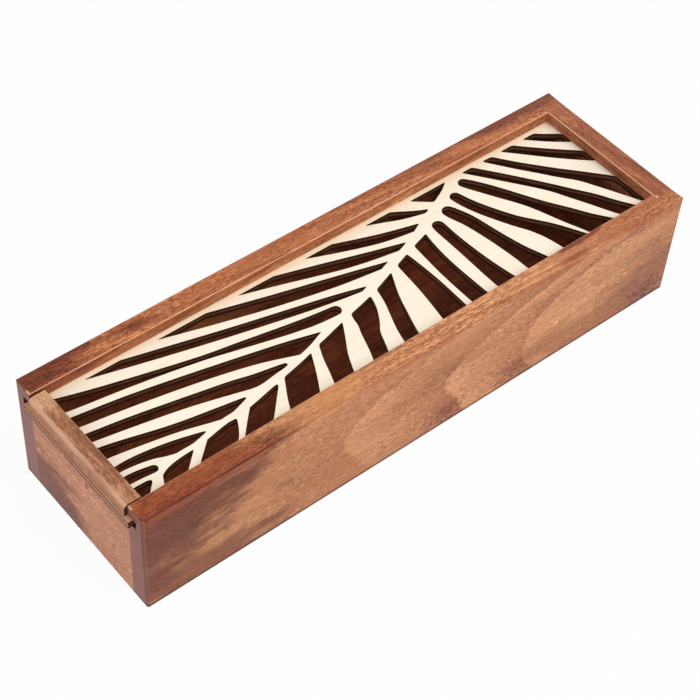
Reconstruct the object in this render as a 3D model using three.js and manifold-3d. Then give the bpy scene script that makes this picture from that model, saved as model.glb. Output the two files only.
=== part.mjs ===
// Sliding lid wooden box with a lid of thin plywood, pierced with a palm frond.
//
// Millimetres, +Z up. X runs along the box: the lid slides out towards -X. Y runs across it.
// The origin is under the middle of the whole part, on the surface that the box stands on.
//
// Five boards make the case: two full-length side boards with the lid's grooves in them, a lower
// front board between the sides, a full-height end board let into the sides, and a bottom panel
// held in a groove all round. The lid is a pierced panel that runs in the grooves, and a pull rail
// glued across its front end, over the front board.

import * as THREE from 'three';
import { mergeVertices } from 'three/addons/utils/BufferGeometryUtils.js';
import Module from 'manifold-3d';

const wasm = await Module();
wasm.setup();

// Case
const caseLength = 250;
const caseWidth = 75;
const caseHeight = 50;
const sideThickness = 8.5;
const frontThickness = 8.5;
const endThickness = 8.5;
const endLetIn = 2.4;
const cornerRadius = 2;
const bottomRadius = 2;
const topRadius = 0.9;
const innerTopRadius = 0.45;

// Bottom panel and its groove
const bottomThickness = 3;
const bottomRaise = 4;
const bottomGrooveDepth = 4;
const bottomClearance = 0.3;

// Lid panel and its groove
const panelThickness = 3;
const panelDrop = 5.3;
const panelTongue = 2;
const panelOverhang = 1.8;
const panelUnderClearance = 0.3;
const panelOverClearance = 0.45;
const panelEndClearance = 0.3;
const panelSidePlay = 2.4;
const sideRest = 0.5;
const endGrooveDepth = 3;

// Pull rail
const railWidth = 6.9;
const railSetback = 0.6;
const railEndClearance = 0.9;
const railFrontRadius = 2;
const railBackRadius = 0.5;

// Pierced field of the lid panel
const fieldUnderRail = 1.7;
const fieldUnderEnd = 0.4;
const fieldSideBorder = 3.3;
const slotCornerReach = 1.1;
const bluntCornerReach = 3.2;
const slotRunOut = 2.5;
const slotLeastStep = 0.15;

// Fineness of curves, and how far every cut runs past what it cuts
const arcSteps = 5;
const stationSteps = 3;
const cornerSteps = 4;
const overrun = 1;

// The least turn, in radians, that counts as a sharp corner of a slot, and the most of a run
// between two corners that the rounding of each may take
const sharpTurn = 0.6;
const longestCutShare = 0.45;

// Midrib of the frond, from its foot at the near side to its tip at the far side. Each station is
// its place along and across the field and the rib's width there, the last two as shares of the
// field's width, with the place across counted from the field's centre line.
const midribShares = [
  [0.021, -0.551, 0.069],
  [0.042, -0.446, 0.061],
  [0.051, -0.408, 0.052],
  [0.059, -0.375, 0.045],
  [0.076, -0.348, 0.038],
  [0.101, -0.332, 0.04],
  [0.127, -0.33, 0.036],
  [0.144, -0.319, 0.042],
  [0.187, -0.287, 0.045],
  [0.208, -0.285, 0.051],
  [0.231, -0.262, 0.06],
  [0.278, -0.217, 0.067],
  [0.31, -0.199, 0.047],
  [0.353, -0.162, 0.043],
  [0.378, -0.132, 0.038],
  [0.399, -0.105, 0.051],
  [0.441, -0.058, 0.052],
  [0.508, 0.014, 0.063],
  [0.571, 0.106, 0.067],
  [0.618, 0.17, 0.056],
  [0.66, 0.235, 0.076],
  [0.698, 0.305, 0.09],
  [0.723, 0.356, 0.078],
  [0.753, 0.422, 0.067],
  [0.774, 0.478, 0.076],
  [0.799, 0.56, 0.09],
];

// Slots between the leaflets, with stations as the midrib has: first those on the rail's side of
// the midrib, then those on the end board's side. Each runs from the edge of the field to the
// midrib, which cuts it off to a pointed or a blunt end, or to a round end of its own.
const pointedEnd = 'pointed';
const bluntEnd = 'blunt';
const roundEnd = 'round';
const slotShares = [
  {
    end: roundEnd,
    stations: [
      [0, 0.432, 0.14], [0.058, 0.372, 0.103], [0.116, 0.318, 0.072], [0.231, 0.205, 0.042],
      [0.288, 0.149, 0.06], [0.4, 0.042, 0.088], [0.457, 0.012, 0.08],
    ],
  },
  {
    end: pointedEnd,
    stations: [
      [0.072, 0.533, 0.072], [0.185, 0.4, 0.077], [0.298, 0.272, 0.073], [0.412, 0.153, 0.068],
      [0.469, 0.097, 0.055], [0.522, 0.044, 0.025],
    ],
  },
  {
    end: pointedEnd,
    stations: [
      [0.206, 0.543, 0.104], [0.294, 0.434, 0.113], [0.382, 0.327, 0.108], [0.483, 0.219, 0.09],
      [0.533, 0.172, 0.066], [0.584, 0.125, 0.035],
    ],
  },
  {
    end: pointedEnd,
    stations: [
      [0.333, 0.563, 0.088], [0.41, 0.46, 0.089], [0.487, 0.354, 0.097], [0.525, 0.303, 0.094],
      [0.565, 0.256, 0.08], [0.605, 0.214, 0.06], [0.643, 0.172, 0.045],
    ],
  },
  {
    end: pointedEnd,
    stations: [
      [0.467, 0.562, 0.085], [0.517, 0.474, 0.088], [0.571, 0.387, 0.088], [0.599, 0.347, 0.083],
      [0.628, 0.314, 0.072], [0.658, 0.285, 0.058], [0.685, 0.256, 0.045],
    ],
  },
  {
    end: pointedEnd,
    stations: [
      [0.592, 0.56, 0.1], [0.622, 0.505, 0.092], [0.652, 0.444, 0.083], [0.668, 0.411, 0.066],
      [0.685, 0.38, 0.045], [0.712, 0.335, 0.025],
    ],
  },
  {
    end: pointedEnd,
    stations: [
      [0.693, 0.628, 0.217], [0.758, 0.404, 0.217],
    ],
  },
  {
    end: pointedEnd,
    stations: [
      [0, 0.262, 0.095], [0.097, 0.194, 0.097], [0.193, 0.109, 0.091], [0.246, 0.056, 0.092],
      [0.298, -0.002, 0.103], [0.35, -0.072, 0.132], [0.403, -0.15, 0.155],
    ],
  },
  {
    end: roundEnd,
    stations: [
      [0, 0.113, 0.076], [0.076, 0.054, 0.084], [0.152, -0.015, 0.086], [0.193, -0.057, 0.094],
      [0.235, -0.103, 0.106], [0.265, -0.138, 0.104], [0.297, -0.146, 0.062], [0.324, -0.153, 0.028],
    ],
  },
  {
    end: bluntEnd,
    stations: [
      [0, -0.034, 0.105], [0.028, -0.055, 0.099], [0.055, -0.081, 0.09], [0.11, -0.138, 0.072],
      [0.14, -0.169, 0.075], [0.169, -0.2, 0.089], [0.231, -0.262, 0.115],
    ],
  },
  {
    end: bluntEnd,
    stations: [
      [0, -0.2, 0.046], [0.034, -0.203, 0.062], [0.068, -0.226, 0.077], [0.087, -0.249, 0.094],
      [0.108, -0.272, 0.1], [0.148, -0.318, 0.095],
    ],
  },
  {
    end: roundEnd,
    stations: [
      [0, -0.301, 0.066], [0.026, -0.305, 0.07], [0.042, -0.314, 0.066], [0.064, -0.33, 0.056],
    ],
  },
  {
    end: bluntEnd,
    stations: [
      [0, -0.444, 0.148], [0.034, -0.449, 0.152], [0.068, -0.462, 0.144],
    ],
  },
  {
    end: pointedEnd,
    stations: [
      [0.062, -0.516, 0.121], [0.079, -0.417, 0.15], [0.112, -0.3, 0.132],
    ],
  },
  {
    end: pointedEnd,
    stations: [
      [0.135, -0.514, 0.199], [0.169, -0.379, 0.186], [0.181, -0.318, 0.17], [0.193, -0.25, 0.14],
    ],
  },
  {
    end: bluntEnd,
    stations: [
      [0.206, -0.514, 0.16], [0.222, -0.44, 0.158], [0.238, -0.372, 0.159], [0.259, -0.28, 0.156],
      [0.279, -0.195, 0.152],
    ],
  },
  {
    end: pointedEnd,
    stations: [
      [0.294, -0.518, 0.206], [0.306, -0.42, 0.208], [0.32, -0.32, 0.207], [0.334, -0.212, 0.203],
      [0.349, -0.103, 0.186],
    ],
  },
  {
    end: pointedEnd,
    stations: [
      [0.369, -0.517, 0.148], [0.38, -0.396, 0.152], [0.391, -0.279, 0.165], [0.407, -0.153, 0.182],
      [0.422, -0.028, 0.2],
    ],
  },
  {
    end: pointedEnd,
    stations: [
      [0.439, -0.514, 0.115], [0.451, -0.389, 0.117], [0.462, -0.264, 0.126], [0.471, -0.196, 0.147],
      [0.478, -0.124, 0.174], [0.485, -0.05, 0.18], [0.493, 0.022, 0.155],
    ],
  },
  {
    end: pointedEnd,
    stations: [
      [0.501, -0.514, 0.116], [0.51, -0.371, 0.121], [0.522, -0.227, 0.115], [0.529, -0.145, 0.112],
      [0.536, -0.059, 0.124], [0.543, 0.028, 0.148], [0.55, 0.115, 0.17],
    ],
  },
  {
    end: pointedEnd,
    stations: [
      [0.589, -0.514, 0.212], [0.593, -0.342, 0.187], [0.596, -0.171, 0.164], [0.597, 0, 0.14],
      [0.597, 0.171, 0.112],
    ],
  },
  {
    end: pointedEnd,
    stations: [
      [0.642, -0.514, 0.141], [0.641, -0.324, 0.136], [0.641, -0.135, 0.129], [0.643, 0.02, 0.126],
      [0.646, 0.15, 0.132], [0.649, 0.244, 0.145],
    ],
  },
  {
    end: roundEnd,
    stations: [
      [0.698, -0.514, 0.166], [0.694, -0.325, 0.134], [0.692, -0.135, 0.108], [0.691, 0.057, 0.095],
      [0.691, 0.153, 0.096], [0.692, 0.25, 0.094],
    ],
  },
  {
    end: roundEnd,
    stations: [
      [0.766, -0.514, 0.2], [0.761, -0.406, 0.166], [0.756, -0.297, 0.135], [0.747, -0.081, 0.111],
      [0.738, 0.12, 0.112], [0.73, 0.217, 0.109], [0.722, 0.314, 0.1],
    ],
  },
  {
    end: roundEnd,
    stations: [
      [0.847, -0.514, 0.235], [0.838, -0.399, 0.192], [0.827, -0.283, 0.153], [0.813, -0.175, 0.12],
      [0.797, -0.07, 0.106], [0.771, 0.151, 0.099], [0.761, 0.267, 0.093], [0.754, 0.386, 0.086],
    ],
  },
  {
    end: roundEnd,
    stations: [
      [0.907, -0.509, 0.215], [0.89, -0.377, 0.175], [0.874, -0.244, 0.152], [0.858, -0.108, 0.116],
      [0.843, 0.021, 0.097], [0.814, 0.239, 0.102], [0.799, 0.344, 0.096], [0.783, 0.45, 0.085],
    ],
  },
  {
    end: pointedEnd,
    stations: [
      [0.969, -0.514, 0.135], [0.95, -0.381, 0.126], [0.933, -0.244, 0.117], [0.914, -0.11, 0.096],
      [0.895, 0.025, 0.077], [0.849, 0.294, 0.078], [0.801, 0.56, 0.076],
    ],
  },
  {
    end: pointedEnd,
    stations: [
      [1.015, -0.397, 0.217], [0.974, -0.143, 0.137], [0.953, -0.018, 0.102], [0.929, 0.1, 0.091],
      [0.907, 0.216, 0.081], [0.885, 0.332, 0.075], [0.844, 0.569, 0.07],
    ],
  },
  {
    end: pointedEnd,
    stations: [
      [1.009, 0.058, 0.1], [0.978, 0.173, 0.098], [0.948, 0.292, 0.091], [0.917, 0.423, 0.083],
      [0.887, 0.555, 0.082],
    ],
  },
  {
    end: pointedEnd,
    stations: [
      [1.009, 0.295, 0.088], [0.981, 0.382, 0.085], [0.962, 0.448, 0.077], [0.933, 0.56, 0.072],
    ],
  },
];

// Places that follow from the sizes
const frontX = -caseLength / 2;
const backX = caseLength / 2;
const sideY = caseWidth / 2;
const innerY = sideY - sideThickness;
const innerFrontX = frontX + frontThickness;
const innerBackX = backX - endThickness;

const panelTop = caseHeight - panelDrop;
const panelBottom = panelTop - panelThickness;
const grooveBottom = panelBottom - panelUnderClearance;
const grooveTop = panelTop + panelOverClearance;
const grooveY = innerY + panelTongue + panelSidePlay;
const grooveBackX = innerBackX + endGrooveDepth;

const panelFrontX = frontX - panelOverhang;
const panelBackX = grooveBackX - panelEndClearance;
const panelHalfWidth = innerY + panelTongue;

const railFrontX = panelFrontX + railSetback;
const railBackX = railFrontX + railWidth;
const railHalfLength = innerY - railEndClearance;

const fieldFrontX = railBackX - fieldUnderRail;
const fieldBackX = innerBackX + fieldUnderEnd;
const fieldLength = fieldBackX - fieldFrontX;
const fieldWidth = 2 * (panelHalfWidth - fieldSideBorder);

// Solids and shapes

function solidFrom(geometry) {
  geometry.deleteAttribute('normal');
  geometry.deleteAttribute('uv');
  const merged = mergeVertices(geometry);
  return new wasm.Manifold(new wasm.Mesh({
    numProp: 3,
    vertProperties: new Float32Array(merged.attributes.position.array),
    triVerts: new Uint32Array(merged.index.array),
  }));
}

function geometryFrom(solid) {
  const mesh = solid.getMesh();
  const geometry = new THREE.BufferGeometry();
  geometry.setAttribute('position', new THREE.BufferAttribute(mesh.vertProperties, mesh.numProp));
  geometry.setIndex(new THREE.BufferAttribute(mesh.triVerts, 1));
  geometry.computeVertexNormals();
  return geometry;
}

function block(low, high) {
  const size = high.map((value, axis) => value - low[axis]);
  const middle = high.map((value, axis) => (value + low[axis]) / 2);
  return solidFrom(new THREE.BoxGeometry(...size).translate(...middle));
}

// Where the two directions of a drawing and its extrusion point to
const alongX = new THREE.Matrix4().makeBasis(
  new THREE.Vector3(0, 1, 0),
  new THREE.Vector3(0, 0, 1),
  new THREE.Vector3(1, 0, 0),
);
const alongY = new THREE.Matrix4().makeBasis(
  new THREE.Vector3(1, 0, 0),
  new THREE.Vector3(0, 0, 1),
  new THREE.Vector3(0, -1, 0),
);
const alongZ = new THREE.Matrix4();

// An outline extruded both ways from the plane that it is drawn in
function extruded(outline, plane, length) {
  const geometry = new THREE.ExtrudeGeometry(outline, {
    depth: length,
    bevelEnabled: false,
    curveSegments: arcSteps,
  });
  geometry.translate(0, 0, -length / 2);
  geometry.applyMatrix4(plane);
  return solidFrom(geometry);
}

// A rectangle standing on the middle of its lower edge, with its lower and upper corners rounded
function roundedOutline(width, height, lowRadius, highRadius) {
  const side = width / 2;
  const outline = new THREE.Shape();
  outline.absarc(side - lowRadius, lowRadius, lowRadius, -Math.PI / 2, 0);
  outline.absarc(side - highRadius, height - highRadius, highRadius, 0, Math.PI / 2);
  outline.absarc(highRadius - side, height - highRadius, highRadius, Math.PI / 2, Math.PI);
  outline.absarc(lowRadius - side, lowRadius, lowRadius, Math.PI, 1.5 * Math.PI);
  outline.closePath();
  return outline;
}

// The waste outside a rounded arris, for an edge at the origin of a piece that lies at -x and -y
function arrisOutline(radius) {
  const outline = new THREE.Shape();
  outline.moveTo(-radius, 0);
  outline.absarc(-radius, -radius, radius, Math.PI / 2, 0, true);
  outline.lineTo(overrun, -radius);
  outline.lineTo(overrun, overrun);
  outline.lineTo(-radius, overrun);
  outline.closePath();
  return outline;
}

// Case

// The whole case as one block with all its outer edges rounded: each board is cut out of it
function caseEnvelope() {
  const plan = extruded(
    roundedOutline(caseLength, caseWidth, cornerRadius, cornerRadius),
    alongZ,
    2 * (caseHeight + overrun),
  ).translate(0, -sideY, 0);
  const lengthwise = extruded(
    roundedOutline(caseLength, caseHeight, bottomRadius, topRadius),
    alongY,
    caseWidth + 2 * overrun,
  );
  const crosswise = extruded(
    roundedOutline(caseWidth, caseHeight, bottomRadius, topRadius),
    alongX,
    caseLength + 2 * overrun,
  );
  return plan.intersect(lengthwise).intersect(crosswise);
}

// What the lid needs: grooves in the sides that are open at the front, and one in the end board
function lidGroove() {
  return block([frontX - overrun, -grooveY, grooveBottom], [grooveBackX, grooveY, grooveTop]);
}

function bottomSlot(clearance) {
  const reach = bottomGrooveDepth - clearance;
  return block(
    [innerFrontX - reach, -innerY - reach, bottomRaise],
    [innerBackX + reach, innerY + reach, bottomRaise + bottomThickness + bottomClearance - clearance],
  );
}

function endRecess() {
  const reach = innerY + endLetIn;
  return block([innerBackX, -reach, -overrun], [backX + overrun, reach, caseHeight + overrun]);
}

// Eases the inner top edge of a board: both sides of the case at once, up to the end board
function sideArrises() {
  const length = innerBackX - frontX + overrun;
  const middle = innerBackX - length / 2;
  const far = extruded(arrisOutline(innerTopRadius), alongX, length)
    .mirror([0, 1, 0])
    .translate(middle, innerY, caseHeight);
  return far.add(far.mirror([0, 1, 0]));
}

function endArris() {
  return extruded(arrisOutline(innerTopRadius), alongY, 2 * innerY)
    .mirror([1, 0, 0])
    .translate(innerBackX, 0, caseHeight);
}

function sideBoard(side) {
  const edges = [side * innerY, side * (sideY + overrun)].sort((a, b) => a - b);
  const raw = block(
    [frontX - overrun, edges[0], -overrun],
    [backX + overrun, edges[1], caseHeight + overrun],
  );
  return caseEnvelope()
    .intersect(raw)
    .subtract(lidGroove())
    .subtract(bottomSlot(0))
    .subtract(endRecess())
    .subtract(sideArrises());
}

function frontBoard() {
  const raw = block([frontX - overrun, -innerY, -overrun], [innerFrontX, innerY, grooveBottom]);
  return caseEnvelope().intersect(raw).subtract(bottomSlot(0));
}

function endBoard() {
  return caseEnvelope()
    .intersect(endRecess())
    .subtract(lidGroove())
    .subtract(bottomSlot(0))
    .subtract(endArris());
}

// Lid

// A line through stations of [along, across, width] shares of the field, as points of the panel
// with the width there as their third value
function fieldCurve(stationShares) {
  return new THREE.CatmullRomCurve3(stationShares.map(([along, across, width]) => new THREE.Vector3(
    fieldFrontX + along * fieldLength,
    across * fieldWidth,
    width * fieldWidth,
  )));
}

// The outline of a band that follows such a line. It runs on straight past its near end, and past
// its far end too unless that one is round: there it ends in a half circle that reaches the end.
function bandOutline(curve, end) {
  const beyond = (share, length) => {
    const heading = curve.getTangent(share).setZ(0).normalize();
    return curve.getPoint(share).addScaledVector(heading, length);
  };
  const tip = curve.getPoint(1);
  const capRadius = tip.z / 2;
  const isRound = end === roundEnd;
  const clear = (point) => !isRound || Math.hypot(point.x - tip.x, point.y - tip.y) > capRadius;
  const line = [
    beyond(0, -slotRunOut),
    ...curve.getPoints(stationSteps * (curve.points.length - 1)).filter(clear),
    beyond(1, isRound ? -capRadius : slotRunOut),
  ];
  const last = line.length - 1;
  const left = [];
  const right = [];
  line.forEach((point, index) => {
    const from = line[Math.max(index - 1, 0)];
    const to = line[Math.min(index + 1, last)];
    const heading = new THREE.Vector2(to.x - from.x, to.y - from.y).normalize();
    const offset = new THREE.Vector2(-heading.y, heading.x).multiplyScalar(point.z / 2);
    left.push(new THREE.Vector2(point.x, point.y).add(offset));
    right.push(new THREE.Vector2(point.x, point.y).sub(offset));
  });
  const cap = [];
  if (isRound) {
    const centre = left[last].clone().add(right[last]).multiplyScalar(1 / 2);
    const sectors = 2 * cornerSteps;
    for (let index = 1; index < sectors; index += 1) {
      cap.push(right[last].clone().rotateAround(centre, Math.PI * index / sectors));
    }
  }
  return [...right, ...cap, ...left.reverse()];
}

function sheet(outline) {
  return extruded(new THREE.Shape(outline), alongZ, panelThickness + 2 * overrun);
}

// The outlines round the flat top of a sheet, each as a list of points in order
function topOutlines(solid) {
  const { vertProperties, triVerts } = solid.getMesh();
  const onTop = (vertex) => vertProperties[3 * vertex + 2] > 0;
  const following = new Map();
  for (let start = 0; start < triVerts.length; start += 3) {
    const corners = [...triVerts.slice(start, start + 3)];
    const lowCorner = corners.findIndex((vertex) => !onTop(vertex));
    const topCount = corners.filter(onTop).length;
    if (topCount === 2) {
      // A wall triangle with one edge on the top: the outline runs against the triangle's own order
      const from = corners[(lowCorner + 2) % 3];
      const to = corners[(lowCorner + 1) % 3];
      following.set(from, to);
    }
  }
  const outlines = [];
  while (following.size > 0) {
    const outline = [];
    let vertex = following.keys().next().value;
    while (following.has(vertex)) {
      outline.push(new THREE.Vector2(vertProperties[3 * vertex], vertProperties[3 * vertex + 1]));
      const after = following.get(vertex);
      following.delete(vertex);
      vertex = after;
    }
    outlines.push(outline);
  }
  return outlines;
}

function largest(outlines) {
  const areas = outlines.map((outline) => THREE.ShapeUtils.area(outline));
  return outlines[areas.indexOf(Math.max(...areas))];
}

// A run of points with a length taken off its start
function shortened(run, length) {
  let left = length;
  let index = 0;
  while (run[index].distanceTo(run[index + 1]) <= left) {
    left -= run[index].distanceTo(run[index + 1]);
    index += 1;
  }
  const start = run[index].clone().lerp(run[index + 1], left / run[index].distanceTo(run[index + 1]));
  return [start, ...run.slice(index + 1)];
}

function runLength(run) {
  return run.slice(1).reduce((sum, point, index) => sum + point.distanceTo(run[index]), 0);
}

// A closed outline with its sharp corners rounded. The rounding starts a given length before each
// corner, or nearer where the next corner is close.
function softened(outline, reach) {
  const count = outline.length;
  const turn = (index) => {
    const before = outline[index].clone().sub(outline[(index + count - 1) % count]);
    const after = outline[(index + 1) % count].clone().sub(outline[index]);
    return before.angleTo(after);
  };
  const corners = [...outline.keys()].filter((index) => turn(index) > sharpTurn);
  const runs = corners.map((corner, order) => {
    const last = corners[(order + 1) % corners.length];
    const run = [outline[corner]];
    for (let index = corner; index !== last; index = (index + 1) % count) {
      run.push(outline[(index + 1) % count]);
    }
    const cut = Math.min(reach, runLength(run) * longestCutShare);
    return shortened(shortened(run, cut).reverse(), cut).reverse();
  });
  return runs.flatMap((run, order) => {
    const following = (order + 1) % runs.length;
    const corner = outline[corners[following]];
    const arc = new THREE.QuadraticBezierCurve(run.at(-1), corner, runs[following][0]);
    return [...run, ...arc.getPoints(cornerSteps).slice(1, -1)];
  });
}

// A closed outline without the points that crowd against the one before them
function thinned(outline, leastStep) {
  return outline.reduce((kept, point) => {
    const crowded = kept.some((other) => point.distanceTo(other) < leastStep);
    return crowded ? kept : [...kept, point];
  }, []);
}

// The slots between the leaflets: each a band cut off by the edge of the field and by the midrib
function slots() {
  const cutHeight = panelThickness + 2 * overrun;
  const field = block(
    [fieldFrontX, -fieldWidth / 2, -cutHeight],
    [fieldBackX, fieldWidth / 2, cutHeight],
  );
  const midrib = extruded(
    new THREE.Shape(bandOutline(fieldCurve(midribShares), pointedEnd)),
    alongZ,
    2 * cutHeight,
  );
  return slotShares.map(({ end, stations }) => {
    const band = sheet(bandOutline(fieldCurve(stations), end)).intersect(field);
    const cut = end === roundEnd ? band : band.subtract(midrib);
    const reach = end === bluntEnd ? bluntCornerReach : slotCornerReach;
    return sheet(thinned(softened(largest(topOutlines(cut)), reach), slotLeastStep));
  });
}

function lidPanel() {
  const panel = block(
    [panelFrontX, -panelHalfWidth, -panelThickness / 2],
    [panelBackX, panelHalfWidth, panelThickness / 2],
  );
  return slots()
    .reduce((left, slot) => left.subtract(slot), panel)
    .translate(0, -sideRest, panelTop - panelThickness / 2);
}

// The rail's section, drawn with its middle at the origin and its foot at zero height
function railOutline() {
  const half = railWidth / 2;
  const backCentre = [half - railBackRadius, panelDrop - railBackRadius];
  const frontCentre = [railFrontRadius - half, panelDrop - railFrontRadius];
  const outline = new THREE.Shape();
  outline.moveTo(-half, 0);
  outline.lineTo(half, 0);
  outline.absarc(...backCentre, railBackRadius, 0, Math.PI / 2);
  outline.absarc(...frontCentre, railFrontRadius, Math.PI / 2, Math.PI);
  outline.closePath();
  return outline;
}

function lidRail() {
  return extruded(railOutline(), alongY, 2 * railHalfLength)
    .translate((railFrontX + railBackX) / 2, -sideRest, panelTop);
}

function bottomPanel() {
  return bottomSlot(bottomClearance);
}

// The part

const woods = {
  reddishBoard: { color: 0x8a5236, roughness: 0.5, metalness: 0 },
  paleBoard: { color: 0xb07a58, roughness: 0.55, metalness: 0 },
  darkBoard: { color: 0x5c3424, roughness: 0.6, metalness: 0 },
  rail: { color: 0xb58664, roughness: 0.5, metalness: 0 },
  plywood: { color: 0xf3e3c8, roughness: 0.6, metalness: 0 },
};

const pieces = [
  ['near_side_board', sideBoard(-1), woods.reddishBoard],
  ['far_side_board', sideBoard(1), woods.reddishBoard],
  ['end_board', endBoard(), woods.reddishBoard],
  ['front_board', frontBoard(), woods.paleBoard],
  ['bottom_panel', bottomPanel(), woods.darkBoard],
  ['lid_panel', lidPanel(), woods.plywood],
  ['lid_rail', lidRail(), woods.rail],
];

const box = new THREE.Group();
pieces.forEach(([name, solid, wood]) => {
  const mesh = new THREE.Mesh(geometryFrom(solid), new THREE.MeshStandardMaterial(wood));
  mesh.name = name;
  box.add(mesh);
});

// The lid stands out in front of the case, so the middle of the whole part lies a little forward
box.position.x = panelOverhang / 2;

export default box;
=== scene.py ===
# Looks of the sliding lid wooden box: oiled hardwood boards and a pierced lid of pale plywood.
#
# Metres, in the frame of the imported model. Textures are laid out in millimetres.

import math
from dataclasses import dataclass

import bpy
from mathutils import Matrix, Vector


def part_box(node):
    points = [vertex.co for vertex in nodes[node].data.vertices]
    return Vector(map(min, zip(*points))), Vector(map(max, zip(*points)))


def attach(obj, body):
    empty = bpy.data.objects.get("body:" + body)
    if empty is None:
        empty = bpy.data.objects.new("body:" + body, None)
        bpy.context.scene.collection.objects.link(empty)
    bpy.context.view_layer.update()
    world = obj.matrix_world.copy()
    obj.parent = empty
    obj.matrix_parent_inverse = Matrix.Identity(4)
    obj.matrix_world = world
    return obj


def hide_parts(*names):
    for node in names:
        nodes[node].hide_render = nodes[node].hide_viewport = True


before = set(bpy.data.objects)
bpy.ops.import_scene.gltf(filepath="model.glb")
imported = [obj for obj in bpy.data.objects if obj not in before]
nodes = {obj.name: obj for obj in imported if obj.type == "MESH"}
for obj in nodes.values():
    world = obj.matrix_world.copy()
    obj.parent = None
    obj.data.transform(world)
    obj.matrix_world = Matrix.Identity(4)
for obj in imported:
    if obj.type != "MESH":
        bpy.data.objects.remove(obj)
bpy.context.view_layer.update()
collection = bpy.context.scene.collection

MM = 0.001
WHITE = (1, 1, 1, 1)

# Camera, as in the photograph
AZIMUTH = math.radians(-42.3857)
ELEVATION = math.radians(48.8867)
ROLL = math.radians(4.1743)
LENS = 93.44
SENSOR_WIDTH = 36
CAMERA_PLACE = Vector((-0.30513, -0.32801, 0.52687))

# Half the width of the box between its side boards and over them, and its height, in millimetres
INNER_EDGE = 29.0
OUTER_EDGE = 37.5
TOP = 50.0


def srgb(red, green, blue):
    """A colour written as it looks, from 0 to 255, as linear values with alpha."""
    linear = []
    for value in (red, green, blue):
        share = value / 255
        linear.append(share / 12.92 if share <= 0.04045 else ((share + 0.055) / 1.055) ** 2.4)
    return (*linear, 1)


def blended(first, second, share):
    return tuple(a + (b - a) * share for a, b in zip(first, second))


# Node trees

# Most of a noise lies between these
NOISE_LOW, NOISE_HIGH = 0.3, 0.7

# The colour sockets of a Mix node, whose sockets for other types have the same names
MIX_FIRST, MIX_SECOND, MIX_RESULT = 6, 7, 2


class Tree:
    """The nodes of a material or a world, added one by one with their inputs linked or set."""

    def __init__(self, owner):
        owner.use_nodes = True
        self.owner = owner
        self.nodes = owner.node_tree.nodes
        self.links = owner.node_tree.links
        self.nodes.clear()

    def add(self, kind, inputs=None, output=0, **settings):
        node = self.nodes.new(kind)
        for name, value in settings.items():
            setattr(node, name, value)
        for key, value in (inputs or {}).items():
            if isinstance(value, bpy.types.NodeSocket):
                self.links.new(value, node.inputs[key])
            else:
                node.inputs[key].default_value = value
        return node.outputs[output]

    def math(self, operation, *values):
        return self.add("ShaderNodeMath", dict(enumerate(values)), operation=operation)

    def product(self, first, *others):
        for other in others:
            first = self.math("MULTIPLY", first, other)
        return first

    def vector(self, operation, *values, output=0):
        inputs = dict(enumerate(values))
        return self.add("ShaderNodeVectorMath", inputs, output, operation=operation)

    def scaled(self, vector, factor):
        return self.add("ShaderNodeVectorMath", {0: vector, 3: factor}, operation="SCALE")

    def parts(self, vector):
        node = self.nodes.new("ShaderNodeSeparateXYZ")
        self.links.new(vector, node.inputs[0])
        return node.outputs

    def place_in_mm(self):
        return self.scaled(self.add("ShaderNodeTexCoord", output="Object"), 1 / MM)

    def flatness(self):
        """The absolute parts of the normal: 1 on a face across that axis, less on a rounding."""
        normal = self.add("ShaderNodeNewGeometry", output="Normal")
        return self.parts(self.vector("ABSOLUTE", normal))

    def noise(self, place, scale, detail=2.0, roughness=0.5):
        """Noise from 0 to 1 round 0.5. scale is in waves per millimetre, one value an axis."""
        stretched = self.vector("MULTIPLY", place, scale)
        inputs = {"Vector": stretched, "Scale": 1.0, "Detail": detail, "Roughness": roughness}
        return self.add("ShaderNodeTexNoise", inputs)

    def band(self, value, low, high, to_low=0.0, to_high=1.0):
        """A smooth step from to_low at low to to_high at high."""
        inputs = {0: value, 1: low, 2: high, 3: to_low, 4: to_high}
        return self.add("ShaderNodeMapRange", inputs, interpolation_type="SMOOTHSTEP")

    def spread(self, noise, to_low, to_high):
        """A noise drawn out over to_low to to_high."""
        return self.band(noise, NOISE_LOW, NOISE_HIGH, to_low, to_high)

    def ramp(self, value, stops):
        """A colour ramp through (place, colour) stops."""
        node = self.nodes.new("ShaderNodeValToRGB")
        self.links.new(value, node.inputs[0])
        elements = node.color_ramp.elements
        while len(elements) < len(stops):
            elements.new(1)
        for element, (place, colour) in zip(elements, stops):
            element.position = place
            element.color = colour
        return node.outputs[0]

    def mix(self, share, first, second):
        inputs = {0: share, MIX_FIRST: first, MIX_SECOND: second}
        return self.add("ShaderNodeMix", inputs, MIX_RESULT, data_type="RGBA")

    def direct_rays(self):
        """1 for what the camera sees straight, in a reflection or through something clear."""
        seen = self.add("ShaderNodeLightPath", output="Is Camera Ray")
        mirrored = self.add("ShaderNodeLightPath", output="Is Glossy Ray")
        through = self.add("ShaderNodeLightPath", output="Is Transmission Ray")
        return self.math("MAXIMUM", self.math("MAXIMUM", seen, mirrored), through)

    def finish(self, surface, kind="ShaderNodeOutputMaterial"):
        output = self.nodes.new(kind)
        self.links.new(surface, output.inputs["Surface"])
        return self.owner


# Hardwood

# Growth rings: (place, strength) in a run that repeats along the tree, each beginning with a line
RING_RUN = 300.0
RING_LINE = 1.0
RINGS = ((-118, 0.6), (-39, 0.75), (11, 1.0), (46, 0.9), (131, 0.5))

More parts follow.
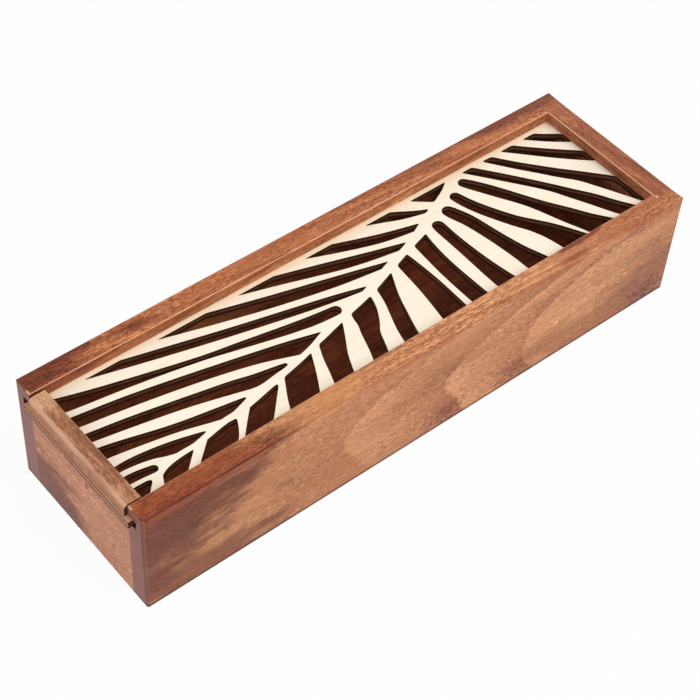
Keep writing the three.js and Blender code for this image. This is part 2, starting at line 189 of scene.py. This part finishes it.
# Waves per millimetre along the grain, across it and up the board
WAVES = {
    "drift": (0.014, 0.05, 0.05),
    "ripple": (0.16, 0.3, 0.3),
    "plain": (0.02, 0.05, 0.05),
    "tone": (0.013, 0.1, 0.1),
    "streak": (0.03, 0.7, 0.7),
    "fibre": (0.16, 2.6, 2.6),
    "fleck": (0.42, 1.5, 1.5),
    "patch": (0.03, 0.12, 0.12),
    "pore": (0.3, 3.4, 3.4),
    "ray": (0.35, 1.7, 1.7),
    "cluster": (0.035, 0.1, 0.1),
    "speckle": (1.0, 1.6, 1.6),
    "arris_patchiness": (0.05, 0.3, 0.3),
}
WISP_WAVES = Vector((0.035, 0.12, 0.12))

# How far the rings drift and ripple, in millimetres, and how deep the pores and fibres are
DRIFT_REACH = 26.0
RIPPLE_REACH = 9.0
FIBRE_DEPTH = 0.12

# How far from an edge its colour is whole and where it has gone, in millimetres
ARRIS = (1.8, 2.4)
# The second pair is the reach of the painted shade along the arris round the foot
FOOT_SHADE_REACH = (1.3, 2.2)

# Shading reddens the wood: green and blue follow these powers of it
GREEN_POWER = 1.2
BLUE_POWER = 1.35

PORE = srgb(92, 42, 24)
PALE_RAY = srgb(255, 226, 190)
CORNER_HIGHLIGHT = srgb(136, 92, 78)
CORNER_LINE = srgb(84, 46, 36)
# Painted shade along the rounded foot, as in the floor's contact shade
FOOT_SHADE = srgb(84, 42, 28)


@dataclass
class Wood:
    """What sets the wood of one board apart. Lengths are in millimetres.

    tones are the light and the dark of a ring. heart is where the middle of the tree lies, across
    the board and up from its foot, slope how far it rises per millimetre along, and under how much
    of a ring's bend is left below it. The rings are cups along the board: each reaches the plane
    `face` at its own place and opens up by taper times the distance squared. along is the axis
    that the grain follows, wander how far the rings waver and ring_share how strongly they show.
    streaks is the strength of the bands of tone and the streaks, and flecks are the depths of the
    short flecks on the board's sides and on its top. rays is the strength of the pale rays, foot
    the share of painted shade along the lower arris, gloss the roughness, shine the strength of
    the reflections, end_tone the end grain's colour and seed what moves the noises.
    stains are patches of colour, real stain marks and specks along with painted shade and painted
    light: (centre, reach, colour, share, fineness). edges are top arrises given another colour,
    lighter where it is a painted highlight and darker elsewhere: (axis that they lie across, place
    on it, colour, share, fade), where fade is the place along X up to which the colour is whole
    and the place where it has gone, or None.
    """

    tones: tuple
    heart: tuple
    face: float
    along: str = "X"
    slope: float = 0.0
    taper: float = 0.1
    under: float = 1.0
    wander: float = 1.0
    ring_share: float = 0.9
    streaks: float = 1.0
    flecks: tuple = (0.1, 0.2)
    rays: float = 0.38
    foot: float = 0.0
    gloss: float = 0.42
    shine: float = 0.15
    end_tone: tuple = None
    seed: float = 0.0
    stains: tuple = ()
    edges: tuple = ()


class WoodTree(Tree):
    """A board's material, laid up from the rings to the wear on its edges."""

    def __init__(self, name, wood):
        super().__init__(bpy.data.materials.new(name))
        self.wood = wood
        self.place = self.place_in_mm()
        self.x, self.y, self.z = self.parts(self.place)
        self.flat = self.flatness()
        if wood.along == "X":
            self.length, self.across, self.turned = self.x, self.y, self.flat[0]
        else:
            self.length, self.across, self.turned = self.y, self.x, self.flat[1]
        grain = self.add("ShaderNodeCombineXYZ", {0: self.length, 1: self.across, 2: self.z})
        self.grain = self.vector("ADD", grain, (wood.seed, 0.37 * wood.seed, 0.71 * wood.seed))
        self.fibre = self.grain_noise("fibre", detail=3.0, roughness=0.7)
        self.pore = self.band(self.grain_noise("pore", detail=1.0), 0.6, 0.72)
        self.shade = self.shading()

    def grain_noise(self, kind, detail=2.0, roughness=0.5):
        return self.noise(self.grain, WAVES[kind], detail, roughness)

    def shading(self):
        """Broad bands of tone along the grain, streaks, fibres and short flecks, as one factor."""
        streaks, (side_depth, top_depth) = self.wood.streaks, self.wood.flecks
        tone = self.grain_noise("tone", detail=3.0, roughness=0.6)
        streak = self.grain_noise("streak", detail=3.0, roughness=0.6)
        fleck = self.grain_noise("fleck", detail=2.0, roughness=0.75)
        elsewhere = self.vector("ADD", self.grain, (71.0, 9.0, 4.0))
        patch = self.noise(elsewhere, WAVES["patch"], detail=3.0, roughness=0.6)
        on_top = self.band(self.flat[2], 0.6, 0.9)
        depth = self.math("MULTIPLY_ADD", on_top, top_depth - side_depth, side_depth)
        depth = self.product(depth, self.band(patch, 0.38, 0.62, 0.5, 1.5))
        shallow, deep = self.math("SUBTRACT", 1.0, depth), self.math("ADD", depth, 1.0)
        return self.product(
            self.spread(tone, 1.0 - 0.14 * streaks, 1.0 + 0.1 * streaks),
            self.spread(streak, 1.0 - 0.12 * streaks, 1.0 + 0.11 * streaks),
            self.spread(self.fibre, 0.86, 1.13),
            self.band(fleck, 0.32, 0.68, shallow, deep),
        )

    def rings(self):
        """The rings, warped as the tree grew: light after a sharp line, darkening to the next."""
        wood = self.wood
        heart_across, heart_up = wood.heart
        heart_height = self.math("MULTIPLY_ADD", self.length, wood.slope, heart_up)
        rise = self.math("SUBTRACT", self.z, heart_height)
        above = self.math("MAXIMUM", rise, 0.0)
        below = self.product(self.math("MINIMUM", rise, 0.0), wood.under)
        from_heart = self.add("ShaderNodeCombineXYZ", {
            0: self.math("SUBTRACT", self.across, heart_across),
            1: self.math("ADD", above, below),
        })
        squared = self.vector("DOT_PRODUCT", from_heart, from_heart, output=1)
        opened = self.math("SUBTRACT", squared, (wood.face - heart_across) ** 2)
        cup = self.math("MULTIPLY_ADD", opened, -wood.taper, self.length)
        drift = self.grain_noise("drift")
        ripple = self.grain_noise("ripple", detail=4.0, roughness=0.6)
        for waver, reach in ((drift, DRIFT_REACH), (ripple, RIPPLE_REACH)):
            centred = self.math("SUBTRACT", waver, 0.5)
            cup = self.math("MULTIPLY_ADD", centred, reach * wood.wander, cup)
        in_run = self.math("DIVIDE", self.math("ADD", cup, RING_RUN / 2), RING_RUN)
        light, dark = wood.tones
        middle = blended(light, dark, 0.5)
        stops = []
        for ring, strength in RINGS:
            line_end = ring + RING_LINE
            stops.append((ring / RING_RUN + 0.5, blended(middle, dark, strength)))
            stops.append((line_end / RING_RUN + 0.5, blended(middle, light, strength)))
        ring_colour = self.ramp(self.math("FRACT", in_run), stops)
        plain = self.band(self.grain_noise("plain", detail=1.0), 0.35, 0.55, 0.6, 1.0)
        return self.mix(self.product(plain, wood.ring_share), middle, ring_colour)

    def shaded(self, colour):
        return self.vector("MULTIPLY", colour, self.add("ShaderNodeCombineXYZ", {
            0: self.shade,
            1: self.math("POWER", self.shade, GREEN_POWER),
            2: self.math("POWER", self.shade, BLUE_POWER),
        }))

    def with_pores(self, colour):
        """Open pores, and pale short rays in clusters."""
        colour = self.mix(self.product(self.pore, 0.4), colour, PORE)
        ray = self.band(self.grain_noise("ray", detail=1.0), 0.55, 0.66)
        cluster = self.band(self.grain_noise("cluster"), 0.5, 0.62, 0.12, 1.0)
        pale = self.product(ray, cluster, self.wood.rays)
        return self.mix(pale, colour, blended(self.wood.tones[0], PALE_RAY, 0.4))

    def with_stains(self, colour):
        """Heartwood, smudges and specks, and patches of painted shade and painted light, each in
        the soft shape of its own noise.
        """
        for index, (centre, reach, stain, share, fineness) in enumerate(self.wood.stains):
            offset = self.vector("SUBTRACT", self.place, centre)
            distance = self.vector("LENGTH", self.vector("DIVIDE", offset, reach), output=1)
            elsewhere = self.vector("ADD", self.grain, (17.0 * index, 5.0, 3.0))
            wisp = self.noise(elsewhere, WISP_WAVES * fineness, detail=3.0)
            centred = self.math("SUBTRACT", wisp, 0.5)
            distance = self.math("MULTIPLY_ADD", centred, 1.7 + 0.6 * fineness, distance)
            covered = self.product(self.band(distance, 1.15, 0.5), share)
            colour = self.mix(covered, colour, self.scaled(stain[:3], self.shade))
        return colour

    def with_end_grain(self, colour):
        """End grain, with a painted highlight on the rounded corners and a thin dark line between
        it and the long faces.
        """
        turned = self.turned
        speckle = self.grain_noise("speckle", detail=3.0, roughness=0.7)
        end_tone = self.wood.end_tone or self.wood.tones[1]
        end_colour = self.scaled(end_tone[:3], self.spread(speckle, 0.84, 1.14))
        # Painted highlight on the rounded upright corners
        corner = self.product(self.band(turned, 0.05, 0.3), self.band(turned, 0.97, 0.9))
        colour = self.mix(self.product(corner, 0.5), colour, CORNER_HIGHLIGHT)
        end_grain = self.band(turned, 0.86, 0.98)
        colour = self.mix(self.product(end_grain, 0.88), colour, end_colour)
        line = self.product(self.band(turned, 0.8, 0.9), self.band(turned, 0.998, 0.97))
        return self.mix(self.product(line, 0.5), colour, CORNER_LINE)

    def with_arrises(self, colour):
        """Top arrises, lighter with a painted highlight or darker, and painted shade on the arris
        round the foot.
        """
        up = self.flat[2]
        not_level = self.band(up, 0.99, 0.93)
        # Break-up along the arrises, for the painted highlights and the darker tints alike
        patchy_arris = self.band(self.grain_noise("arris_patchiness", detail=3.0), 0.3, 0.6, 0.4, 1.0)
        whole, gone = ARRIS
        at_top = self.band(self.z, TOP - gone, TOP - whole)
        top_edge = self.product(self.band(up, 0.15, 0.4), not_level, at_top, patchy_arris)
        for axis, edge_place, edge_colour, share, fade in self.wood.edges:
            offset = self.math("SUBTRACT", (self.x, self.y)[axis], edge_place)
            beside = self.band(self.math("ABSOLUTE", offset), gone, whole)
            near_edge = self.product(beside, top_edge)
            if fade:
                near_edge = self.product(near_edge, self.band(self.x, fade[1], fade[0]))
            colour = self.mix(self.product(near_edge, share), colour, edge_colour)
        # Painted shade: the rounding along the foot is darkened, as in contact shade with the
        # floor
        whole, gone = FOOT_SHADE_REACH
        painted_foot_shade = self.product(self.band(self.z, gone, whole), not_level)
        return self.mix(self.product(painted_foot_shade, self.wood.foot), colour, FOOT_SHADE)

    def surface(self, colour):
        height = self.math("MULTIPLY_ADD", self.pore, -0.6, self.fibre)
        bump = {"Strength": 0.2, "Distance": FIBRE_DEPTH * MM, "Height": height}
        gloss = self.wood.gloss
        return self.add("ShaderNodeBsdfPrincipled", {
            "Base Color": colour,
            "Roughness": self.spread(self.fibre, gloss + 0.1, gloss - 0.04),
            "Normal": self.add("ShaderNodeBump", bump),
            "Specular IOR Level": self.wood.shine,
            "Coat Weight": 0.05,
            "Coat Roughness": 0.3,
        })


def hardwood(name, **settings):
    tree = WoodTree(name, Wood(**settings))
    colour = tree.with_pores(tree.shaded(tree.rings()))
    colour = tree.with_end_grain(tree.with_stains(colour))
    return tree.finish(tree.surface(tree.with_arrises(colour)))


# Plywood

FACE_FIBRE = [(0.25, srgb(242, 226, 200)), (0.6, srgb(251, 241, 222))]
FACE_CLOUD = srgb(252, 236, 218)
# Painted light: a warm tint that lifts the face's shade beside the side boards
PAINTED_WALL_LIGHT = srgb(255, 222, 172)
OILED_FIBRE = [(0.3, srgb(196, 140, 112)), (0.6, srgb(216, 164, 136))]
SCORCHED = srgb(62, 35, 24)

# The three layers from the sheet's underside up, on a burnt edge and on the sawn front edge
BURNT_LAYERS = [
    (0.0, srgb(44, 25, 17)), (0.26, srgb(56, 32, 21)),
    (0.36, srgb(102, 63, 42)), (0.5, srgb(130, 85, 58)), (0.64, srgb(102, 63, 40)),
    (0.74, srgb(64, 36, 21)), (1.0, srgb(48, 27, 16)),
]
SAWN_LAYERS = [
    (0.0, srgb(84, 36, 18)), (0.28, srgb(90, 40, 20)),
    (0.36, srgb(200, 150, 120)), (0.58, srgb(206, 158, 128)),
    (0.66, srgb(58, 25, 14)), (0.93, srgb(58, 25, 14)), (0.98, srgb(180, 130, 104)),
]

# Waves per millimetre along X, Y and Z
SHEET_WAVES = {
    "fibre": (0.03, 1.1, 0.4),
    "cloud": (0.03, 0.07, 0.07),
    "scorch": (0.16, 0.16, 2.4),
}

# How far in from the side boards the face gets painted light, and the depth of its grain, in
# millimetres
WALL_LIGHT_REACH = 5.0
FACE_DEPTH = 0.08


def plywood(name, low, high, front, rail_back):
    """Pale three-ply: a fine-grained face, lighter and warmer with painted light beside the side
    boards, burnt cut edges with the core between the veneers, and a front end that took the rail's
    oil. The places of the sheet are in millimetres."""
    tree = Tree(bpy.data.materials.new(name))
    place = tree.place_in_mm()
    x, y, z = tree.parts(place)
    flat = tree.flatness()
    fibre = tree.noise(place, SHEET_WAVES["fibre"], detail=4.0, roughness=0.6)
    cloud = tree.noise(place, SHEET_WAVES["cloud"])
    face = tree.ramp(fibre, FACE_FIBRE)
    face = tree.mix(tree.band(cloud, 0.35, 0.7, 0.0, 0.5), face, FACE_CLOUD)
    # Painted light beside the side boards, where they shade the face
    wall_light_share = tree.band(tree.math("ABSOLUTE", y), INNER_EDGE - WALL_LIGHT_REACH, INNER_EDGE)
    face = tree.mix(tree.product(wall_light_share, 0.45), face, PAINTED_WALL_LIGHT)
    oiled = tree.band(x, rail_back, rail_back - 0.5)
    face = tree.mix(oiled, face, tree.ramp(fibre, OILED_FIBRE))

    level = tree.add("ShaderNodeMapRange", {0: z, 1: low, 2: high})
    scorch = tree.noise(place, SHEET_WAVES["scorch"], detail=3.0)
    burnt = tree.mix(
        tree.band(scorch, 0.36, 0.6, 0.75, 0.0), tree.ramp(level, BURNT_LAYERS), SCORCHED,
    )
    at_front = tree.band(x, front + 0.6, front + 0.2)
    sawn_front = tree.product(at_front, tree.band(flat[0], 0.5, 0.8))
    layers = tree.mix(sawn_front, burnt, tree.ramp(level, SAWN_LAYERS))
    bump = {"Strength": 0.1, "Distance": FACE_DEPTH * MM, "Height": fibre}
    return tree.finish(tree.add("ShaderNodeBsdfPrincipled", {
        "Base Color": tree.mix(tree.band(flat[2], 0.8, 0.3), face, layers),
        "Roughness": tree.spread(fibre, 0.62, 0.5),
        "Normal": tree.add("ShaderNodeBump", bump),
        "Specular IOR Level": 0.1,
    }))


# Materials of the seven pieces

# A painted highlight along the inner top arrises
ARRIS_HIGHLIGHT = srgb(236, 176, 140)
# Painted shade on the side boards' inner faces, down inside the box
INNER_FACE_SHADE = srgb(132, 70, 42)
# Painted shade at the mouth of the lid groove, on the side boards' front ends
GROOVE_MOUTH_SHADE = srgb(30, 12, 8)

# The case's front, the end board's inner face and the back along X, within a millimetre
FRONT, INNER_END, BACK = -125.0, 116.5, 125.0

materials = {
    "near_side_board": hardwood(
        "near_side_wood", tones=(srgb(216, 153, 106), srgb(170, 104, 68)),
        heart=(42.0, 25.5), slope=-0.04, taper=0.088, face=-OUTER_EDGE, under=0.45, wander=0.7,
        streaks=0.7, flecks=(0.23, 0.32), seed=11.0, foot=0.8, end_tone=srgb(133, 78, 68),
        edges=(
            # Inner top arris: painted highlight. Outer top arris: darker, darkest towards the
            # front.
            (1, -INNER_EDGE, ARRIS_HIGHLIGHT, 0.7, None),
            (1, -OUTER_EDGE, srgb(160, 84, 48), 0.5, None),
            (1, -OUTER_EDGE, srgb(84, 26, 14), 0.95, (-84.0, -40.0)),
        ),
        stains=(
            ((-92.0, -38.0, 46.0), (30.0, 14.0, 24.0), srgb(172, 104, 66), 0.6, 1.0),
            ((-117.0, -38.0, 42.0), (47.0, 14.0, 30.0), srgb(98, 42, 24), 0.88, 1.0),
            ((-112.0, -38.0, 6.0), (46.0, 12.0, 12.0), srgb(118, 58, 36), 0.75, 1.0),
            ((-120.0, -38.0, 20.0), (26.0, 12.0, 16.0), srgb(120, 66, 48), 0.7, 1.6),
            ((-114.0, -33.0, TOP), (50.0, 12.0, 6.0), srgb(146, 72, 40), 0.8, 1.0),
            ((-42.0, -33.0, TOP), (15.0, 7.0, 4.0), srgb(208, 142, 94), 0.7, 1.0),
            ((104.0, -33.0, 51.0), (48.0, 10.0, 7.0), srgb(160, 86, 54), 0.6, 1.0),
            ((84.0, -38.0, 6.0), (46.0, 12.0, 14.0), srgb(160, 94, 60), 0.6, 1.0),
            ((122.0, -38.0, 14.0), (28.0, 12.0, 20.0), srgb(146, 90, 66), 0.6, 1.0),
            ((78.0, -29.8, TOP), (13.0, 1.6, 3.0), srgb(110, 44, 26), 0.8, 1.5),
            ((72.0, -35.0, TOP), (9.0, 2.0, 3.0), srgb(140, 68, 40), 0.6, 1.5),
            ((113.0, -38.0, 6.0), (9.0, 14.0, 5.0), srgb(112, 56, 40), 0.75, 10.0),
            ((10.0, -38.0, 7.0), (7.0, 8.0, 4.5), srgb(112, 48, 26), 0.75, 12.0),
            ((44.0, -38.0, 6.0), (5.0, 8.0, 4.0), srgb(122, 56, 34), 0.75, 16.0),
            # Painted shade at the mouth of the lid groove
            ((FRONT, -30.0, 42.6), (5.0, 3.4, 2.6), GROOVE_MOUTH_SHADE, 0.95, 0.3),
            # Painted shade on the inner face, down inside the box
            ((0.0, -INNER_EDGE, 20.0), (220.0, 3.0, 25.0), INNER_FACE_SHADE, 0.75, 0.3),
        ),
    ),
    "far_side_board": hardwood(
        "far_side_wood", tones=(srgb(204, 128, 81), srgb(153, 84, 52)),
        heart=(80.0, 10.0), slope=0.03, face=OUTER_EDGE,
        flecks=(0.2, 0.33), seed=47.0, foot=0.6, end_tone=srgb(133, 86, 81),
        edges=(
            # Inner top arris: painted highlight. Outer top arris: darker.
            (1, INNER_EDGE, ARRIS_HIGHLIGHT, 0.9, None),
            (1, OUTER_EDGE, srgb(140, 84, 64), 0.5, None),
        ),
        stains=(
            ((-122.0, 34.0, TOP), (44.0, 16.0, 30.0), srgb(96, 40, 22), 0.88, 1.0),
            # Painted shade at the mouth of the lid groove
            ((FRONT, 30.0, 42.6), (5.0, 3.4, 2.6), GROOVE_MOUTH_SHADE, 0.95, 0.3),
            # Painted shade on the inner face, down inside the box
            ((60.0, INNER_EDGE, 20.0), (125.0, 3.0, 25.0), INNER_FACE_SHADE, 0.75, 0.3),
            # Painted light: a lighter patch on the far inner face near the front, where light
            # falls into the box
            ((-102.0, INNER_EDGE, 34.0), (40.0, 3.0, 16.0), srgb(176, 100, 66), 0.8, 0.5),
            ((100.0, 38.0, TOP), (60.0, 7.0, 30.0), srgb(118, 64, 48), 0.85, 1.0),
        ),
    ),
    "end_board": hardwood(
        "end_wood", tones=(srgb(176, 107, 74), srgb(140, 81, 56)), along="Y",
        heart=(160.0, -30.0), slope=0.02, face=INNER_END,
        flecks=(0.18, 0.28), seed=83.0, end_tone=srgb(130, 80, 62),
        edges=(
            # Inner top arris: painted highlight. Back top arris: darker.
            (0, INNER_END, ARRIS_HIGHLIGHT, 0.9, None),
            (0, BACK, srgb(120, 66, 52), 0.5, None),
        ),
    ),
    "front_board": hardwood(
        "front_wood", tones=(srgb(199, 132, 95), srgb(172, 107, 74)), along="Y",
        heart=(-60.0, -20.0), slope=-0.05, face=FRONT, ring_share=0.5,
        streaks=0.7, flecks=(0.4, 0.36), seed=29.0, end_tone=srgb(140, 92, 74),
        stains=(
            ((FRONT, 26.0, 2.0), (10.0, 30.0, 26.0), srgb(103, 46, 34), 0.85, 1.0),
        ),
    ),
    "bottom_panel": hardwood(
        "bottom_wood", tones=(srgb(150, 80, 50), srgb(100, 50, 32)),
        heart=(10.0, -80.0), face=0.0, streaks=1.6, rays=0.0, seed=61.0, gloss=0.55, shine=0.1,
        stains=(
            # Painted shade: the floor of the box darker towards the end board
            ((76.0, -4.0, 4.0), (76.0, 46.0, 6.0), srgb(88, 42, 26), 0.6, 0.5),
        ),
    ),
    "lid_rail": hardwood(
        "rail_wood", tones=(srgb(186, 130, 94), srgb(150, 98, 70)), along="Y",
        heart=(-110.0, 20.0), slope=0.03, face=-122.0, taper=0.5,
        # The rail's end_tone is painted shade: its ends are darkened as if in the side boards'
        # shadow
        streaks=0.9, flecks=(0.18, 0.24), seed=5.0, end_tone=srgb(50, 22, 14),
        edges=(
            # A painted highlight on the rail's rounded front
            (0, -126.0, srgb(214, 166, 136), 0.75, None),
        ),
        stains=(
            ((-122.0, 26.0, TOP), (7.0, 8.0, 4.0), srgb(216, 166, 128), 0.7, 1.0),
            ((-122.0, -25.5, TOP), (7.0, 6.0, 4.0), srgb(204, 150, 114), 0.55, 1.0),
            ((-119.9, 0.0, TOP), (1.7, 26.0, 4.0), srgb(142, 90, 60), 0.7, 1.0),
        ),
    ),
}
panel_low, panel_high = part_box("lid_panel")
rail_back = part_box("lid_rail")[1].x / MM
materials["lid_panel"] = plywood(
    "plywood", panel_low.z / MM, panel_high.z / MM, panel_low.x / MM, rail_back,
)


# Crisper boards: the photograph shows the case's outer upright corners and its foot less rounded
# than the CAD has them. The near front corner keeps its rounding at the top and narrows downwards.

# The CAD's rounding in millimetres, with the slack for finding it, and the share of it that stays
ROUNDING = 2.0
SLACK = 0.01
CRISP = 0.35
NEAR_FRONT_CRISP = 0.8

# The boards of the case and their material slots
CASE_BOARDS = {
    "near_side_board": "side_wood",
    "far_side_board": "side_wood",
    "end_board": "end_wood",
    "front_board": "front_wood",
}

case_low, case_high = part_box("near_side_board")
case_front, case_back = case_low.x / MM, case_high.x / MM


def crisp_place(place):
    """Where a point of the case's rounded skin goes on the crisper one, in millimetres."""
    x, y, z = place
    from_end = min(x - case_front, case_back - x)
    from_side = OUTER_EDGE - abs(y)
    rounded = ROUNDING + SLACK
    at_end, at_side, at_foot = from_end < rounded, from_side < rounded, z < rounded
    end_share = CRISP if at_end and (at_side or at_foot) else 1.0
    side_share = CRISP if at_side and (at_end or at_foot) else 1.0
    if at_end and at_side and x < 0 and y < 0:
        end_share = side_share = 1.0
        if at_foot:
            narrowing = (CRISP - NEAR_FRONT_CRISP) / ROUNDING
            end_share = NEAR_FRONT_CRISP + narrowing * from_side
            side_share = NEAR_FRONT_CRISP + narrowing * from_end
    x += math.copysign(from_end * (1 - end_share), x)
    y += math.copysign(from_side * (1 - side_share), y)
    return Vector((x, y, z * CRISP if at_foot else z))


def crisp_board(name):
    mesh = nodes[name].data.copy()
    for vertex in mesh.vertices:
        vertex.co = crisp_place(vertex.co / MM) * MM
    piece = bpy.data.objects.new(name + "_crisp", mesh)
    collection.objects.link(piece)
    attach(piece, "case")
    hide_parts(name)
    return piece


pieces = dict(nodes)
for name, slot in CASE_BOARDS.items():
    pieces[name] = crisp_board(name)


# Each piece gets its material, and one skin with its sharp edges eased by so many millimetres

EASED = {"lid_rail": 0.25, "bottom_panel": 0.2, **dict.fromkeys(CASE_BOARDS, 0.22)}
SHARP = math.radians(40)
SAME_PLACE = 0.001 * MM
SAME_CORNER = 0.002 * MM

for name, piece in pieces.items():
    piece.data.materials.clear()
    piece.data.materials.append(materials[name])
    for polygon in piece.data.polygons:
        polygon.use_smooth = True
    weld = piece.modifiers.new("one_skin", "WELD")
    weld.merge_threshold = SAME_PLACE
    if name in EASED:
        bevel = piece.modifiers.new("eased_edges", "BEVEL")
        bevel.width = EASED[name] * MM
        bevel.segments = 2
        bevel.limit_method = "ANGLE"
        bevel.angle_limit = SHARP
        corners = piece.modifiers.new("clean_corners", "WELD")
        corners.merge_threshold = SAME_CORNER
        normals = piece.modifiers.new("flat_faces", "WEIGHTED_NORMAL")
        normals.weight = 100
    else:
        split = piece.modifiers.new("crisp_edges", "EDGE_SPLIT")
        split.split_angle = SHARP


# Stage: a white floor that keeps a faint shadow, in a white surrounding

FLOOR_REACH = 3.0
FLOOR_DROP = 0.05 * MM
FLOOR_TONE = (0.8, 0.8, 0.8, 1)
FLOOR_WHITE = 0.95
STUDIO_STRENGTH = 0.62


def floor_material():
    """Grey and matt to the lamps and nearly all white to the eye, and clear from underneath."""
    tree = Tree(bpy.data.materials.new("floor_white"))
    matt = tree.add("ShaderNodeBsdfDiffuse", {"Color": FLOOR_TONE})
    white = tree.add("ShaderNodeEmission", {"Color": WHITE, "Strength": 1.0})
    share = tree.product(tree.direct_rays(), FLOOR_WHITE)
    shown = tree.add("ShaderNodeMixShader", {0: share, 1: matt, 2: white})
    clear = tree.add("ShaderNodeBsdfTransparent")
    from_below = tree.add("ShaderNodeNewGeometry", output="Backfacing")
    return tree.finish(tree.add("ShaderNodeMixShader", {0: from_below, 1: shown, 2: clear}))


floor_mesh = bpy.data.meshes.new("floor")
floor_mesh.from_pydata(
    [(-FLOOR_REACH, -FLOOR_REACH, 0), (FLOOR_REACH, -FLOOR_REACH, 0),
     (FLOOR_REACH, FLOOR_REACH, 0), (-FLOOR_REACH, FLOOR_REACH, 0)],
    [], [(0, 1, 2, 3)],
)
floor_mesh.materials.append(floor_material())
floor = bpy.data.objects.new("floor", floor_mesh)
floor.location.z = -FLOOR_DROP
collection.objects.link(floor)

studio = Tree(bpy.data.worlds.new("studio"))
strength = studio.add("ShaderNodeMapRange", {0: studio.direct_rays(), 3: STUDIO_STRENGTH, 4: 1.0})
sky = studio.add("ShaderNodeBackground", {"Color": WHITE, "Strength": strength})
bpy.context.scene.world = studio.finish(sky, "ShaderNodeOutputWorld")

LAMP_TARGET = Vector((0, 0, 0.03))


def softbox(name, place, size, watts):
    light = bpy.data.lights.new(name, "AREA")
    light.shape = "SQUARE"
    light.size = size
    light.energy = watts
    lamp = bpy.data.objects.new(name, light)
    lamp.location = place
    lamp.rotation_mode = "QUATERNION"
    lamp.rotation_quaternion = (LAMP_TARGET - Vector(place)).to_track_quat("-Z", "Y")
    collection.objects.link(lamp)


softbox("key_softbox", place=(0.35, -0.75, 1.15), size=0.9, watts=9.0)
softbox("fill_softbox", place=(-1.0, -0.15, 0.6), size=0.8, watts=3.5)


# Camera


def camera_axes():
    back = Vector((
        math.sin(AZIMUTH) * math.cos(ELEVATION),
        -math.cos(AZIMUTH) * math.cos(ELEVATION),
        math.sin(ELEVATION),
    ))
    level = (-back).cross(Vector((0, 0, 1))).normalized()
    upright = level.cross(-back)
    right = math.cos(ROLL) * level + math.sin(ROLL) * upright
    up = -math.sin(ROLL) * level + math.cos(ROLL) * upright
    return right, up, back


camera_data = bpy.data.cameras.new("camera")
camera_data.lens = LENS
camera_data.sensor_width = SENSOR_WIDTH
camera = bpy.data.objects.new("camera", camera_data)
turned = Matrix(camera_axes()).transposed().to_4x4()
camera.matrix_world = Matrix.Translation(CAMERA_PLACE) @ turned
collection.objects.link(camera)
bpy.context.scene.camera = camera

bpy.context.scene.view_settings.view_transform = "Standard"
